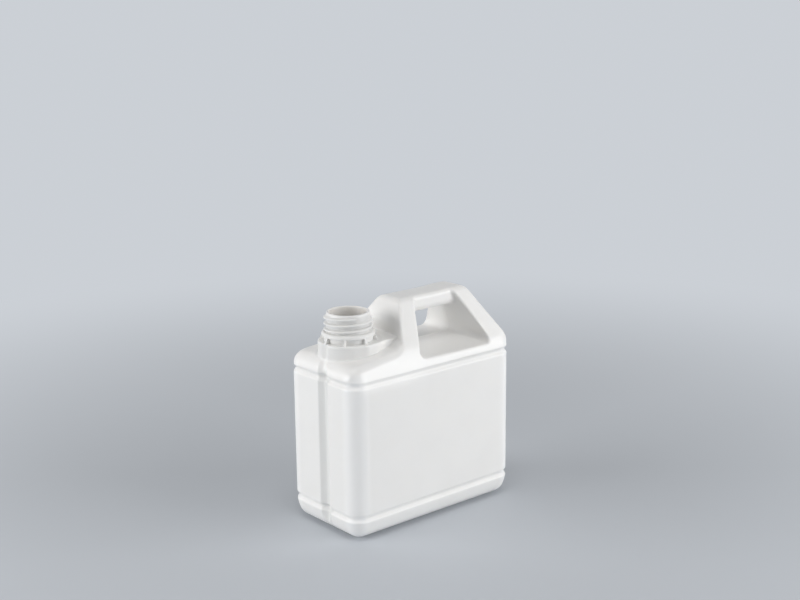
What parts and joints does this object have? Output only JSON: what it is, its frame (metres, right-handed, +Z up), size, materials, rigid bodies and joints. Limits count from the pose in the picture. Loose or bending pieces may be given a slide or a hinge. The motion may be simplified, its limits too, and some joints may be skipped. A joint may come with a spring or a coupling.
{
  "type": "jerrycan",
  "caption": "One-piece blown plastic jerrycan with a threaded neck, a grip handle and belt grooves, shown without its cap.",
  "frame": {"origin": "middle of the underside, on the surface that the can stands on", "axes": "+Z up, +X from the neck end to the back end along the body's length, +Y across its width"},
  "size_m": [0.138, 0.07, 0.1473],
  "materials": {
    "white_plastic": "smooth satin blown polyethylene, slightly translucent where it is thin"
  },
  "bodies": {
    "root": {"jerrycan": "white_plastic"}
  },
  "joints": []
}
